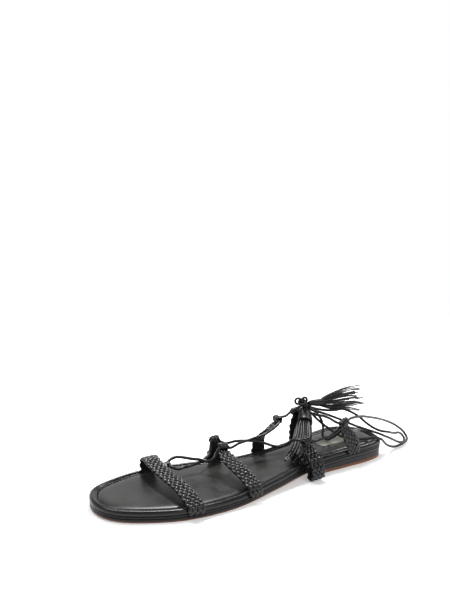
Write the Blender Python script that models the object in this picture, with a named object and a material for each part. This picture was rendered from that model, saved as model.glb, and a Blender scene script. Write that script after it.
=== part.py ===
"""A flat lace-up huarache sandal for the left foot, empty and standing on its sole.

Metres, +Z up. The toe points to -X, the medial (inner) side of the foot is +Y, and the origin is on
the floor at the centre of the heel block's ground face.
"""
import math

import bmesh
import bpy
import numpy as np
from mathutils import Matrix, Vector

# Sole, overall
SHOE_LENGTH = 0.250
BALL_WIDTH = 0.078
WAIST_WIDTH = 0.0445
HEEL_WIDTH = 0.052
HEEL_LENGTH = 0.075
HEEL_LIFT = 0.007
TOE_SPRING = 0.0012

# Sole, layers
OUTSOLE_THICKNESS = 0.0027
MIDSOLE_THICKNESS = 0.0014
RIM_WIDTH = 0.0055
RIM_HEIGHT = 0.0033
INSOLE_HEIGHT = 0.0029
EDGE_ROUNDING = 0.0005
GAP = 0.0003

# Straps
STRAP_WIDTH = 0.0130
STRAP_THICKNESS = 0.0020
TAIL_THICKNESS = 0.0011
TAIL_LENGTH = 0.0042
TIP_WIDTH = 0.0080
STRANDS_ACROSS = 5
STRAND_PITCH = 0.0040
STRAND_RAISE = 0.0006
TOE_STRAP_RISE = 0.0102
INSTEP_LATERAL_LENGTH = 0.048
INSTEP_MEDIAL_LENGTH = 0.020
ARCH_LATERAL_LENGTH = 0.040
ARCH_MEDIAL_LENGTH = 0.040
HEEL_LATERAL_LENGTH = 0.032
HEEL_MEDIAL_LENGTH = 0.030

# Strap seats, each measured from the toe
TOE_SEAT_LATERAL = 0.0555
TOE_SEAT_MEDIAL = 0.0580
INSTEP_SEAT_LATERAL = 0.1030
INSTEP_SEAT_MEDIAL = 0.1085
ARCH_SEAT_LATERAL = 0.1625
ARCH_SEAT_MEDIAL = 0.1455
HEEL_SEAT_LATERAL = 0.2060
HEEL_SEAT_MEDIAL = 0.1850

# Laces and tassels
LACE_DIAMETER = 0.0020
EYE_CLEARANCE = 0.0012
EYE_WALL = 0.0011
CORD_STEP = 0.0062
CORD_SIDES = 8
KNOT_RADIUS = 0.0031
KNOT_LOOP_RADIUS = 0.0022
KNOT_STRAND_RADIUS = 0.0008
TASSEL_CAP_RADIUS = 0.0045
TASSEL_STRAND_RADIUS = 0.0011

# Resolution of the round forms
OUTLINE_POINTS = 72

BLACK = (0.010, 0.010, 0.011)
BROWN = (0.150, 0.055, 0.032)

# The edge of the sole seen from above, at every 18 degrees of the angle whose cosine gives the distance
# along the shoe. Columns: width that the row follows, medial edge, lateral edge, as shares of that width.
TOE_TIP_SHARE = 0.109
EDGE_STEP = 18
EDGE_ROWS = (
    (BALL_WIDTH, 0.356, -0.123),
    (BALL_WIDTH, 0.492, -0.294),
    (BALL_WIDTH, 0.554, -0.446),
    (BALL_WIDTH, 0.486, -0.482),
    (WAIST_WIDTH, 0.526, -0.715),
    (WAIST_WIDTH, 0.436, -0.564),
    (HEEL_WIDTH, 0.458, -0.481),
    (HEEL_WIDTH, 0.512, -0.485),
    (HEEL_WIDTH, 0.350, -0.375),
)

# The lift of the waist starts behind the ball and ends over the heel, as shares of the length.
LIFT_START, LIFT_END = 0.31, 0.85
SPRING_END = 0.14


def clear_scene():
    for item in list(bpy.data.objects):
        bpy.data.objects.remove(item, do_unlink=True)


def leather(name, colour, roughness):
    material = bpy.data.materials.new(name)
    material.use_nodes = True
    shader = material.node_tree.nodes["Principled BSDF"]
    shader.inputs["Base Color"].default_value = (*colour, 1.0)
    shader.inputs["Roughness"].default_value = roughness
    shader.inputs["Metallic"].default_value = 0.0
    return material


def add_object(name, mesh, colour, roughness=0.4, sharp_degrees=40):
    """Put a closed mesh in the scene as one sub-part, its faces pointing out."""
    work = bmesh.new()
    work.from_mesh(mesh)
    bmesh.ops.recalc_face_normals(work, faces=work.faces)
    work.to_mesh(mesh)
    work.free()
    mesh.shade_smooth()
    mesh.set_sharp_from_angle(angle=math.radians(sharp_degrees))
    item = bpy.data.objects.new(name, mesh)
    item.data.materials.append(leather(name, colour, roughness))
    bpy.context.collection.objects.link(item)
    return item


def mesh_of(name, corners, faces):
    mesh = bpy.data.meshes.new(name)
    mesh.from_pydata([tuple(c) for c in corners], [], faces)
    mesh.validate()
    return mesh


def boolean(item, other, operation):
    """Join or cut one object by another, which stays hidden as the tool of the modifier."""
    other.hide_render = True
    other.display_type = "WIRE"
    step = item.modifiers.new(other.name, "BOOLEAN")
    step.operation = operation
    step.solver = "EXACT"
    step.object = other


# Outline and heights of the sole

def along(from_toe):
    """Row X of a distance measured from the toe."""
    return from_toe - SHOE_LENGTH + HEEL_LENGTH / 2


def edge_values():
    """Side offsets at every step around the sole: toe, medial edge, heel, then back by the lateral edge."""
    medial = [width * share for width, share, _ in EDGE_ROWS]
    lateral = [width * share for width, _, share in EDGE_ROWS]
    return [TOE_TIP_SHARE * BALL_WIDTH] + medial + [0.0] + lateral[::-1]


EDGE_VALUES = edge_values()


def edge_offset(degrees):
    """Smooth side offset of the edge at an angle around the sole."""
    place = (degrees % 360) / EDGE_STEP
    first = int(place)
    t = place - first
    a, b, c, d = (EDGE_VALUES[(first + k) % len(EDGE_VALUES)] for k in (-1, 0, 1, 2))
    return 0.5 * (2 * b + (c - a) * t + (2 * a - 5 * b + 4 * c - d) * t ** 2 + (3 * b - a - 3 * c + d) * t ** 3)


def edge_plan(degrees):
    from_toe = SHOE_LENGTH * (1 - math.cos(math.radians(degrees))) / 2
    return Vector((along(from_toe), edge_offset(degrees), 0))


def edge_frame(degrees):
    """Edge point with its outward normal and its direction of travel, all level."""
    travel = (edge_plan(degrees + 1) - edge_plan(degrees - 1)).normalized()
    return edge_plan(degrees), Vector((-travel.y, travel.x, 0)), travel


def inset_edge(degrees, inset):
    point, outward, _ = edge_frame(degrees)
    return point - outward * inset


def angle_at(from_toe, side):
    """Angle around the sole of a distance from the toe, on the medial (1) or lateral (-1) side."""
    degrees = math.degrees(math.acos(1 - 2 * from_toe / SHOE_LENGTH))
    return degrees if side > 0 else 360 - degrees


def ease(value):
    value = min(max(value, 0.0), 1.0)
    return value * value * (3 - 2 * value)


def lift(x):
    """Height of the outsole's underside: flat forefoot, lifted waist, level heel, small toe spring."""
    share = (x - along(0)) / SHOE_LENGTH
    rise = HEEL_LIFT * ease((share - LIFT_START) / (LIFT_END - LIFT_START))
    spring = TOE_SPRING * max(1 - share / SPRING_END, 0.0) ** 2
    return rise + spring


def midsole_top(x):
    return lift(x) + OUTSOLE_THICKNESS + GAP + MIDSOLE_THICKNESS


def rim_top(x):
    return midsole_top(x) + GAP + RIM_HEIGHT


def ladder(first, count, turned):
    """Faces across a ring whose two halves mirror each other in order, from one end to the other."""
    faces = []
    low, high = first, first + count - 1
    while high - low > 2:
        face = (low, low + 1, high - 1, high)
        faces.append(face[::-1] if turned else face)
        low, high = low + 1, high - 1
    if high - low == 2:
        face = (low, low + 1, high)
        faces.append(face[::-1] if turned else face)
    return faces


def stacked_rings(name, rings):
    """A closed solid through rings of equally many points, capped across at both ends."""
    count = len(rings[0])
    corners = [corner for ring in rings for corner in ring]
    faces = []
    for level in range(len(rings) - 1):
        low, high = level * count, (level + 1) * count
        for k in range(count):
            after = (k + 1) % count
            faces.append((low + k, low + after, high + after, high + k))
    faces += ladder(0, count, True)
    faces += ladder((len(rings) - 1) * count, count, False)
    return mesh_of(name, corners, faces)


def ring_angles():
    """Angles that pair up across the shoe, half a step off its two ends."""
    step = 360 / OUTLINE_POINTS
    return [step * (k + 0.5) for k in range(OUTLINE_POINTS)]


def sole_layer(name, base, profile, colour, roughness):
    """One layer of the sole. Profile rows: inset from the edge, height above the base curve."""
    rings = []
    for inset, height in profile:
        ring = []
        for degrees in ring_angles():
            point = inset_edge(degrees, inset)
            ring.append((point.x, point.y, base(point.x) + height))
        rings.append(ring)
    return add_object(name, stacked_rings(name, rings), colour, roughness)


def rounded_edge(inset, thickness):
    """Profile of a flat layer with its two corners eased."""
    r = EDGE_ROUNDING
    return ((inset + r, 0), (inset, r), (inset, thickness - r), (inset + r, thickness))


def make_sole():
    sole_layer("outsole", lift, rounded_edge(GAP, OUTSOLE_THICKNESS), BROWN, 0.45)
    middle = lambda x: lift(x) + OUTSOLE_THICKNESS + GAP
    r = EDGE_ROUNDING / 2
    midsole_edge = ((r, 0), (0, r), (0, MIDSOLE_THICKNESS - r), (r, MIDSOLE_THICKNESS))
    sole_layer("midsole", middle, midsole_edge, BLACK, 0.35)
    inner = RIM_WIDTH + GAP
    # Columns: extra inset, share of the insole's height
    rise = ((0, 0), (0, 0.62), (0.0005, 0.86), (0.0016, 1.0))
    profile = [(inner + inset, INSOLE_HEIGHT * share) for inset, share in rise]
    sole_layer("insole", lambda x: midsole_top(x) + GAP, profile, BLACK, 0.35)


def make_heel():
    """Low heel block: the rear of the outline with a straight breast, level below, curved above."""
    start = angle_at(SHOE_LENGTH - HEEL_LENGTH, 1)
    count = 30
    r = EDGE_ROUNDING
    # Columns: inset, share of the block's height at that point
    profile = ((GAP + 2 * r, 0.0), (GAP + r, 0.12), (GAP + r, 1.0))
    rings = []
    for inset, share in profile:
        ring = []
        for k in range(count):
            degrees = start + (360 - 2 * start) * k / (count - 1)
            point = inset_edge(degrees, inset)
            ring.append((point.x, point.y, (lift(point.x) - GAP) * share))
        rings.append(ring)
    return add_object("heel", stacked_rings("heel", rings), BROWN, 0.5)


# Seats where the strap ends enter the rim

# Columns: distance from the toe, side, strap width there
SEATS = {
    "toe_lateral": (TOE_SEAT_LATERAL, -1, STRAP_WIDTH),
    "toe_medial": (TOE_SEAT_MEDIAL, 1, STRAP_WIDTH),
    "instep_lateral": (INSTEP_SEAT_LATERAL, -1, STRAP_WIDTH),
    "instep_medial": (INSTEP_SEAT_MEDIAL, 1, STRAP_WIDTH),
    "arch_lateral": (ARCH_SEAT_LATERAL, -1, STRAP_WIDTH),
    "arch_medial": (ARCH_SEAT_MEDIAL, 1, STRAP_WIDTH),
    "heel_lateral": (HEEL_SEAT_LATERAL, -1, STRAP_WIDTH),
    "heel_medial": (HEEL_SEAT_MEDIAL, 1, STRAP_WIDTH),
}


def seat_frame(seat):
    """Edge point on the midsole's top, outward normal and direction along the edge towards the heel."""
    from_toe, side, width = SEATS[seat]
    point, outward, travel = edge_frame(angle_at(from_toe, side))
    point.z = midsole_top(point.x)
    rearward = travel * side
    rearward.z = (midsole_top(point.x + width / 2) - midsole_top(point.x - width / 2)) / width
    return point, outward, rearward.normalized()


def strap_root(seat):
    """How far out from the edge a strap stands to clear the rim over its whole width."""
    from_toe, side, width = SEATS[seat]
    centre = angle_at(from_toe, side)
    point, outward, travel = edge_frame(centre)
    bulge = 0.0
    for degrees in range(-15, 16):
        offset = edge_plan(centre + degrees) - point
        if abs(offset.dot(travel)) <= width * 0.55:
            bulge = max(bulge, offset.dot(outward))
    return bulge + 1.5 * GAP + STRAP_THICKNESS / 2


def slot_cutter(seat):
    """Box that opens the rim's foot for the skived tail of one strap."""
    point, outward, rearward = seat_frame(seat)
    width = SEATS[seat][2] + 4 * GAP
    height = TAIL_THICKNESS + 2 * GAP
    depth = TAIL_LENGTH + GAP
    reach = RIM_WIDTH
    corners = []
    for a in (-width / 2, width / 2):
        for b in (-depth, reach):
            for c in (-RIM_HEIGHT, height):
                corners.append(point + rearward * a + outward * b + Vector((0, 0, c)))
    faces = [(0, 1, 3, 2), (4, 6, 7, 5), (0, 4, 5, 1), (2, 3, 7, 6), (0, 2, 6, 4), (1, 5, 7, 3)]
    name = "slot_" + seat
    return add_object(name, mesh_of(name, corners, faces), BLACK)


def make_rim():
    """Rolled bead around the footbed, slotted underneath at each strap."""
    # Columns: share of the rim's width from the outer edge, share of its height
    profile = (
        (0.05, 0.0), (0.0, 0.25), (0.03, 0.65), (0.20, 0.94), (0.50, 1.0),
        (0.82, 0.86), (1.0, 0.52), (1.0, 0.0),
    )
    count = len(profile)
    corners, faces = [], []
    for k, degrees in enumerate(ring_angles()):
        for across, up in profile:
            point = inset_edge(degrees, RIM_WIDTH * across)
            corners.append((point.x, point.y, midsole_top(point.x) + GAP + RIM_HEIGHT * up))
        after = (k + 1) % OUTLINE_POINTS
        for j in range(count):
            nxt = (j + 1) % count
            faces.append((k * count + j, k * count + nxt, after * count + nxt, after * count + j))
    rim = add_object("rim", mesh_of("rim", corners, faces), BLACK, 0.3)
    for seat in SEATS:
        boolean(rim, slot_cutter(seat), "DIFFERENCE")
    return rim


# Smooth lines through rows

def smooth_rows(rows, spacing):
    """Rows of numbers that start with X, Y, Z, resampled at equal steps of a smooth line through them."""
    rows = np.array(rows, float)
    chord = np.linalg.norm(np.diff(rows[:, :3], axis=0), axis=1)
    slope = np.diff(rows, axis=0) / chord[:, None]
    tangent = np.empty_like(rows)
    tangent[0], tangent[-1] = slope[0], slope[-1]
    weight = (chord[1:] / (chord[:-1] + chord[1:]))[:, None]
    tangent[1:-1] = slope[:-1] * weight + slope[1:] * (1 - weight)
    fine = []
    for k, length in enumerate(chord):
        for t in np.linspace(0, 1, 16, endpoint=False):
            h1, h2 = 2 * t ** 3 - 3 * t ** 2 + 1, t ** 3 - 2 * t ** 2 + t
            h3, h4 = 3 * t ** 2 - 2 * t ** 3, t ** 3 - t ** 2
            bend = (h2 * tangent[k] + h4 * tangent[k + 1]) * length
            fine.append(h1 * rows[k] + h3 * rows[k + 1] + bend)
    fine.append(rows[-1])
    fine = np.array(fine)
    run = np.concatenate([[0], np.cumsum(np.linalg.norm(np.diff(fine[:, :3], axis=0), axis=1))])
    steps = max(int(round(run[-1] / spacing)), 2)
    places = np.linspace(0, run[-1], steps + 1)
    return np.column_stack([np.interp(places, run, column) for column in fine.T])


def tube_mesh(name, centres, radii, sides):
    """Round tube along a line of centres, closed by flat ends. Radii may change along it."""
    centres = [Vector(c) for c in centres]
    corners, faces = [], []
    across = None
    for k, centre in enumerate(centres):
        before, after = centres[max(k - 1, 0)], centres[min(k + 1, len(centres) - 1)]
        direction = (after - before).normalized()
        if across is None:
            across = direction.orthogonal().normalized()
        across = (across - direction * across.dot(direction)).normalized()
        side = direction.cross(across)
        for j in range(sides):
            turn = 2 * math.pi * j / sides
            corners.append(centre + radii[k] * (across * math.cos(turn) + side * math.sin(turn)))
    for k in range(len(centres) - 1):
        for j in range(sides):
            nxt = (j + 1) % sides
            faces.append((k * sides + j, k * sides + nxt, (k + 1) * sides + nxt, (k + 1) * sides + j))
    last = (len(centres) - 1) * sides
    faces.append(tuple(range(sides))[::-1])
    faces.append(tuple(range(last, last + sides)))
    return mesh_of(name, corners, faces)


def ring_mesh(name, centre, axis, start, inner, outer, length, sides=14):
    """Short straight sleeve around an axis, for an eye."""
    axis = axis.normalized()
    start = (start - axis * start.dot(axis)).normalized()
    side = axis.cross(start)
    corners, faces = [], []
    for j in range(sides):
        turn = 2 * math.pi * j / sides
        spoke = start * math.cos(turn) + side * math.sin(turn)
        for radius, place in ((inner, -0.5), (outer, -0.5), (outer, 0.5), (inner, 0.5)):
            corners.append(centre + spoke * radius + axis * length * place)
        nxt = (j + 1) % sides
        for k in range(4):
            after = (k + 1) % 4
            faces.append((j * 4 + k, j * 4 + after, nxt * 4 + after, nxt * 4 + k))
    return mesh_of(name, corners, faces)


# Braided straps

def braid_mesh(name, stations):
    """A strap wall with raised diamonds on its outer face.

    Station columns: X, Y, Z, width direction X, Y, Z, width, thickness, share of the braid's raise.
    """
    centres = [Vector(row[:3]) for row in stations]
    corners, faces = [], []
    rows_top, rows_peak, rows_foot = [], [], []
    for k, row in enumerate(stations):
        before, after = centres[max(k - 1, 0)], centres[min(k + 1, len(centres) - 1)]
        direction = (after - before).normalized()
        across = Vector(row[3:6])
        across = (across - direction * across.dot(direction)).normalized()
        normal = across.cross(direction)
        width, thickness, raised = row[6:9]
        even = k % 2 == 0
        cell = width / STRANDS_ACROSS
        edges = [cell * j - width / 2 for j in range(STRANDS_ACROSS + 1)]
        middles = [cell * (j + 0.5) - width / 2 for j in range(STRANDS_ACROSS)]
        valleys = edges if even else [edges[0]] + middles + [edges[-1]]
        peaks = middles if even else edges[1:-1]

        def place(v, height):
            return centres[k] + across * v + normal * height

        top = []
        for v in valleys:
            top.append(len(corners))
            corners.append(place(v, thickness / 2))
        high = []
        for v in peaks:
            high.append(len(corners))
            corners.append(place(v, thickness / 2 + STRAND_RAISE * raised))
        foot = []
        for v in (edges[0], edges[-1]):
            foot.append(len(corners))
            corners.append(place(v, -thickness / 2))
        rows_top.append(top)
        rows_peak.append(high)
        rows_foot.append(foot)
    last = len(stations) - 1
    for k in range(len(stations)):
        even = k % 2 == 0
        for j, peak in enumerate(rows_peak[k]):
            left = rows_top[k][j if even else j + 1]
            right = rows_top[k][j + 1 if even else j + 2]
            for other in (k - 1, k + 1):
                if 0 <= other <= last:
                    tip = rows_top[other][j + 1]
                    faces.append((left, tip, peak))
                    faces.append((tip, right, peak))
    for k in range(last):
        a, b = rows_top[k], rows_top[k + 1]
        wide, narrow = (a, b) if k % 2 == 0 else (b, a)
        # Half diamonds along both borders of the strap
        faces.append((wide[0], narrow[0], narrow[1]))
        faces.append((wide[-1], narrow[-1], narrow[-2]))
        foot, foot_next = rows_foot[k], rows_foot[k + 1]
        faces.append((a[0], b[0], foot_next[0], foot[0]))
        faces.append((a[-1], b[-1], foot_next[1], foot[1]))
        faces.append((foot[0], foot_next[0], foot_next[1], foot[1]))
    for k in (0, last):
        first_peak = 0 if k % 2 == 0 else 1
        border = [rows_top[k][0]]
        for j, valley in enumerate(rows_top[k][1:]):
            if 0 <= j - first_peak < len(rows_peak[k]):
                border.append(rows_peak[k][j - first_peak])
            border.append(valley)
        faces.append(tuple(border + rows_foot[k][::-1]))
    return mesh_of(name, corners, faces)


def tail_rows(seat):
    """The skived tail in its slot and the turn up around the rim. Columns as in braid_mesh."""
    point, outward, rearward = seat_frame(seat)
    half = TAIL_THICKNESS / 2
    out = strap_root(seat)
    width = SEATS[seat][2]
    # Columns: outward, up, thickness, share of the braid's raise
    rows = (
        (-TAIL_LENGTH, GAP + half, TAIL_THICKNESS, 0),
        (-TAIL_LENGTH * 0.3, GAP + half, TAIL_THICKNESS, 0),
        (out * 0.85, GAP + half * 1.15, TAIL_THICKNESS * 1.1, 0.2),
    )
    placed = []
    for a, b, thickness, raised in rows:
        centre = point + outward * a + Vector((0, 0, b))
        placed.append((*centre, *rearward, width, thickness, raised))
    return placed


def turned(direction, degrees, tilt=0.0):
    """Width direction turned about the vertical, then tipped up."""
    level = Matrix.Rotation(math.radians(degrees), 3, "Z") @ Vector(direction)
    return level.normalized() + Vector((0, 0, math.tan(math.radians(tilt))))


def half_strap(name, seat, length, rows):
    """A strap from its seat to its folded eye.

    Row columns, the first three as shares of the strap's length from its place beside the rim: inward
    across the shoe, up, rearward; then the width direction's turn and tilt in degrees.
    """
    point, outward, rearward = seat_frame(seat)
    point = point + outward * strap_root(seat)
    side = SEATS[seat][1]
    table = tail_rows(seat)
    for k, (inward, up, back, turn, tilt) in enumerate(rows):
        centre = point + Vector((back * length, -side * inward * length, up * length))
        across = turned(rearward.lerp(Vector((1, 0, 0)), ease((k - 1) / 2)), turn, tilt)
        near_tip = ease((k - len(rows) + 3) / 2)
        width = STRAP_WIDTH + (TIP_WIDTH - STRAP_WIDTH) * near_tip
        table.append((*centre, *across, width, STRAP_THICKNESS, 1))
    if side > 0:
        table = [(*row[:3], -row[3], -row[4], -row[5], *row[6:]) for row in table]
    stations = smooth_rows(table, STRAND_PITCH / 2)
    strap = add_object(name, braid_mesh(name, stations), BLACK, 0.3, 25)
    tip, before = Vector(stations[-1][:3]), Vector(stations[-2][:3])
    direction = (tip - before).normalized()
    across = Vector(stations[-1][3:6])
    across = (across - direction * across.dot(direction)).normalized()
    normal = direction.cross(across)
    inner = LACE_DIAMETER / 2 + EYE_CLEARANCE
    outer = inner + EYE_WALL
    centre = tip - normal * (outer - STRAP_THICKNESS * 0.45) + direction * EYE_WALL
    eye_name = name + "_eye"
    eye = ring_mesh(eye_name, centre, across, direction, inner, outer, TIP_WIDTH * 0.8)
    boolean(strap, add_object(eye_name, eye, BLACK), "UNION")
    return strap


def toe_strap():
    """One braid from edge to edge over the toes, with a small lace eye at its rear border."""
    name = "toe_strap"
    start, _, _ = seat_frame("toe_lateral")
    end, _, _ = seat_frame("toe_medial")
    # Columns: share of the way across, height above the rim as a share of the rise, shift to the rear as
    # a share of the strap's width
    rows = (
        (-0.024, 0.10, 0.0), (0.015, 0.22, 0.0), (0.09, 0.44, -0.02), (0.26, 0.68, -0.06), (0.515, 0.86, -0.2),
        (0.77, 1.0, -0.24), (0.90, 1.02, -0.16), (0.99, 0.80, -0.05), (1.045, 0.42, 0.0),
        (1.04, 0.0, 0.0),
    )
    table = tail_rows("toe_lateral")
    for across, rise, shift in rows:
        centre = start.lerp(end, across)
        centre.x += shift * STRAP_WIDTH
        centre.z = rim_top(centre.x) + rise * TOE_STRAP_RISE
        table.append((*centre, 1, 0, 0, STRAP_WIDTH, STRAP_THICKNESS, 1))
    table += tail_rows("toe_medial")[::-1]
    stations = smooth_rows(table, STRAND_PITCH / 2)
    strap = add_object(name, braid_mesh(name, stations), BLACK, 0.3, 25)
    # The eye sits at this share of the strap's run
    place = stations[int(len(stations) * 0.60)]
    inner = LACE_DIAMETER / 2 + GAP * 2
    outer = inner + EYE_WALL
    centre = Vector(place[:3]) + Vector((STRAP_WIDTH / 2 + outer - EYE_WALL / 2, 0, 0))
    eye = ring_mesh("toe_eye", centre, Vector((0, 1, 0)), Vector((1, 0, 0)), inner, outer, 0.004, 12)
    boolean(strap, add_object("toe_eye", eye, BLACK), "UNION")
    return strap


def make_straps():
    toe_strap()
    half_strap("instep_strap_lateral", "instep_lateral", INSTEP_LATERAL_LENGTH, (
        (0.003, 0.055, 0.0, 0, 0),
        (0.040, 0.12, 0.0, 0, 0),
        (0.172, 0.183, 0.0, 0, 0),
        (0.380, 0.267, -0.03, 0, 0),
        (0.630, 0.34, -0.05, 0, 0),
        (0.797, 0.381, -0.04, 0, 0),
        (0.900, 0.402, -0.01, 0, 0),
    ))
    half_strap("instep_strap_medial", "instep_medial", INSTEP_MEDIAL_LENGTH, (
        (0.007, 0.13, 0.0, 0, 0),
        (0.007, 0.30, 0.0, 0, 0),
        (0.112, 0.60, -0.02, 0, 0),
        (0.213, 0.90, -0.04, 0, 0),
    ))
    half_strap("arch_strap_lateral", "arch_lateral", ARCH_LATERAL_LENGTH, (
        (-0.024, -0.03, 0.0, 0, 0),
        (-0.032, -0.12, 0.0, 0, 0),
        (-0.079, -0.180, 0.0, 0, 0),
        (-0.154, -0.160, 0.0, 0, 0),
        (-0.189, -0.05, 0.0, 0, 0),
        (-0.149, 0.09, 0.0, 0, 0),
        (-0.024, 0.24, -0.01, 0, 0),
        (0.076, 0.35, -0.03, 0, 0),
        (0.156, 0.45, -0.06, 0, 0),
    ))
    half_strap("arch_strap_medial", "arch_medial", ARCH_MEDIAL_LENGTH, (
        (0.006, 0.06, 0.0, 0, 0),
        (0.006, 0.16, 0.0, 6, 0),
        (0.026, 0.30, 0.02, 14, 0),
        (0.066, 0.44, 0.10, 26, 0),
        (0.106, 0.54, 0.24, 40, 10),
        (0.136, 0.63, 0.40, 45, 20),
    ))
    half_strap("heel_strap_lateral", "heel_lateral", HEEL_LATERAL_LENGTH, (
        (0.005, 0.08, 0.0, 0, 0),
        (0.005, 0.20, 0.0, 0, 0),
        (0.005, 0.42, -0.12, 0, -14),
        (0.025, 0.62, -0.25, 0, -18),
        (0.065, 0.82, -0.34, 0, -18),
    ))
    half_strap("heel_strap_medial", "heel_medial", HEEL_MEDIAL_LENGTH, (
        (0.003, 0.08, 0.0, 0, 0),
        (0.003, 0.22, 0.0, 0, 0),
        (0.028, 0.44, 0.0, 0, 0),
        (0.068, 0.66, 0.0, 0, 0),
        (0.108, 0.84, 0.0, 0, 0),
    ))


# Laces. Every route is a list of points in the row's frame, in millimetres.

CROSSING_FRONT = (
    ((-147.0, 22.0, 19.4), (-142.3, 21.0, 21.1), (-136.1, 19.0, 19.7), (-129.7, 17.5, 17.4), (-124.5, 16.0, 16.0),
     (-120.6, 11.0, 15.8), (-118.2, 7.0, 17.0)),
    ((-147.4, 18.5, 14.8), (-143.9, 18.0, 13.8), (-136.7, 18.0, 13.0), (-130.0, 17.0, 14.0), (-124.5, 16.0, 15.6),
     (-117.5, 20.0, 15.5), (-111.5, 24.0, 15.8)),
)
CROSSING_REAR = (
    ((-97.0, 25.0, 20.6), (-90.8, 19.0, 24.0), (-83.0, 12.5, 25.7), (-77.8, 10.0, 25.4), (-72.4, 8.0, 23.4),
     (-63.6, 2.0, 19.7), (-60.0, -2.6, 20.4), (-59.6, -8.0, 24.4), (-59.2, -12.0, 27.6), (-57.5, -15.0, 29.8)),
    ((-101.6, 8.0, 23.6), (-94.1, 9.0, 25.2), (-84.3, 9.5, 25.5), (-77.0, 10.4, 25.8), (-70.5, 8.8, 28.0),
     (-64.6, 8.5, 30.3), (-58.0, 8.8, 33.2), (-54.0, 10.4, 34.7), (-51.8, 13.6, 35.4)),
)
LACES = {
    "lace_arch_to_heel": (
        (-42.6, -15.5, 26.5), (-38.6, -14.0, 24.0), (-29.7, -13.5, 24.0), (-21.5, -15.0, 25.5),
        (-17.5, -18.0, 29.0), (-15.5, -21.0, 33.0)),
    "lace_arch_to_knot": (
        (-43.9, 16.0, 36.1), (-38.8, 16.5, 38.6), (-34.5, 17.0, 41.0), (-28.2, 15.6, 42.9)),
    "lace_loop_outer": (
        (-8.8, -24.5, 39.5), (5.7, -20.0, 38.3), (26.2, -13.0, 32.2), (42.5, -8.0, 26.5), (57.1, -4.0, 20.6),
        (70.0, -3.0, 13.8), (77.5, -5.0, 7.2), (76.5, -9.5, 3.4), (69.1, -13.0, 1.9), (61.0, -14.5, 1.4),
        (52.9, -16.0, 2.0), (42.6, -18.0, 5.8), (35.2, -20.5, 10.6), (30.0, -22.0, 15.0), (25.1, -21.0, 16.8),
        (20.4, -18.1, 16.5), (12.9, -14.0, 16.0), (6.3, -9.1, 16.2), (1.2, -5.0, 17.5), (-6.0, 1.0, 22.9),
        (-10.8, 8.5, 28.2), (-12.0, 17.0, 32.4), (-13.3, 21.3, 35.4)),
    "lace_loop_inner": (
        (-12.0, 18.9, 38.8), (-8.8, 17.2, 37.6), (-2.1, 14.5, 36.0), (6.2, 11.0, 35.3), (14.8, 9.0, 35.6),
        (20.2, 6.0, 33.3), (28.0, 3.0, 28.3), (33.1, -2.0, 22.5), (35.7, -9.0, 19.4), (37.6, -13.5, 18.4),
        (45.4, -15.0, 16.4), (59.5, -12.5, 10.4), (65.7, -12.0, 6.0), (63.6, -14.5, 3.6), (54.7, -16.0, 6.6),
        (45.8, -17.5, 11.4), (38.2, -17.0, 15.0), (33.9, -15.5, 17.2), (30.4, -12.0, 18.6), (23.1, -6.0, 21.4),
        (15.3, 0.0, 24.8), (10.3, 4.0, 27.5), (3.6, 8.0, 30.6), (-3.2, 12.0, 33.6), (-10.2, 15.6, 36.0),
        (-14.0, 17.5, 37.5)),
    "lace_return": (
        (-14.5, -20.0, 34.6), (-13.7, -13.0, 35.0), (-11.6, -3.0, 35.0), (-10.8, 6.0, 34.6), (-12.4, 15.0, 33.8),
        (-14.8, 19.0, 35.4)),
    "lace_slack": (
        (-11.6, 21.2, 37.5), (-8.6, 18.8, 35.2), (-7.2, 13.0, 30.5), (-9.4, 7.0, 24.1), (-13.3, 2.5, 18.0),
        (-12.2, -1.5, 16.4), (-12.4, -6.0, 19.0), (-11.2, -13.0, 25.0), (-10.9, -19.0, 31.0)),
}
KNOT_CENTRE = (-24.8, 15.6, 45.6)
BUNDLE_END = (-15.1, 19.5, 38.2)
TASSEL_HANGING = (
    (-24.3, 15.0, 41.2), (-23.5, 14.0, 38.0), (-24.5, 11.0, 33.6), (-32.5, 4.0, 28.2), (-44.5, -8.0, 22.8),
    (-56.0, -17.0, 17.4), (-64.5, -21.0, 14.2))
TASSEL_LYING = (
    (-20.1, 13.5, 45.9), (-11.8, 13.7, 44.5), (-4.4, 13.5, 43.9), (6.6, 13.0, 43.9), (19.6, 12.0, 45.0),
    (31.1, 11.5, 45.0), (42.0, 11.0, 42.6))
# How far the strands part: upwards, sideways
HANGING_SPREAD = (0.0018, 0.0078)
LYING_SPREAD = (0.0095, 0.0060)
TASSEL_STRANDS = 10
TASSEL_CAP_SHARE = 0.22


def add_cord(name, route):
    """Round lace along a smooth line through its route."""
    points = smooth_rows(np.array(route) / 1000, CORD_STEP)
    curve = bpy.data.curves.new(name, "CURVE")
    curve.dimensions = "3D"
    curve.bevel_depth = LACE_DIAMETER / 2
    curve.bevel_resolution = 2
    curve.use_fill_caps = True
    spline = curve.splines.new("POLY")
    spline.points.add(len(points) - 1)
    for target, point in zip(spline.points, points):
        target.co = (*point, 1)
    item = bpy.data.objects.new(name, curve)
    item.data.materials.append(leather(name, BLACK, 0.35))
    bpy.context.collection.objects.link(item)
    return item


def joined_tubes(name, tubes):
    """One solid from tubes that run into each other. Tube columns: centres, radii, sides."""
    parts = []
    for k, (centres, radii, sides) in enumerate(tubes):
        mesh = tube_mesh(f"{name}_{k}", centres, radii, sides)
        parts.append(add_object(name if k == 0 else f"{name}_{k}", mesh, BLACK, 0.35, 60))
    for part in parts[1:]:
        boolean(parts[0], part, "UNION")
    return parts[0]


def crossing(name, routes):
    """Two laces that cross, as one solid."""
    tubes = []
    for route in routes:
        points = smooth_rows(np.array(route) / 1000, CORD_STEP)
        tubes.append((points, [LACE_DIAMETER / 2] * len(points), CORD_SIDES))
    joined_tubes(name, tubes)


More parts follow.
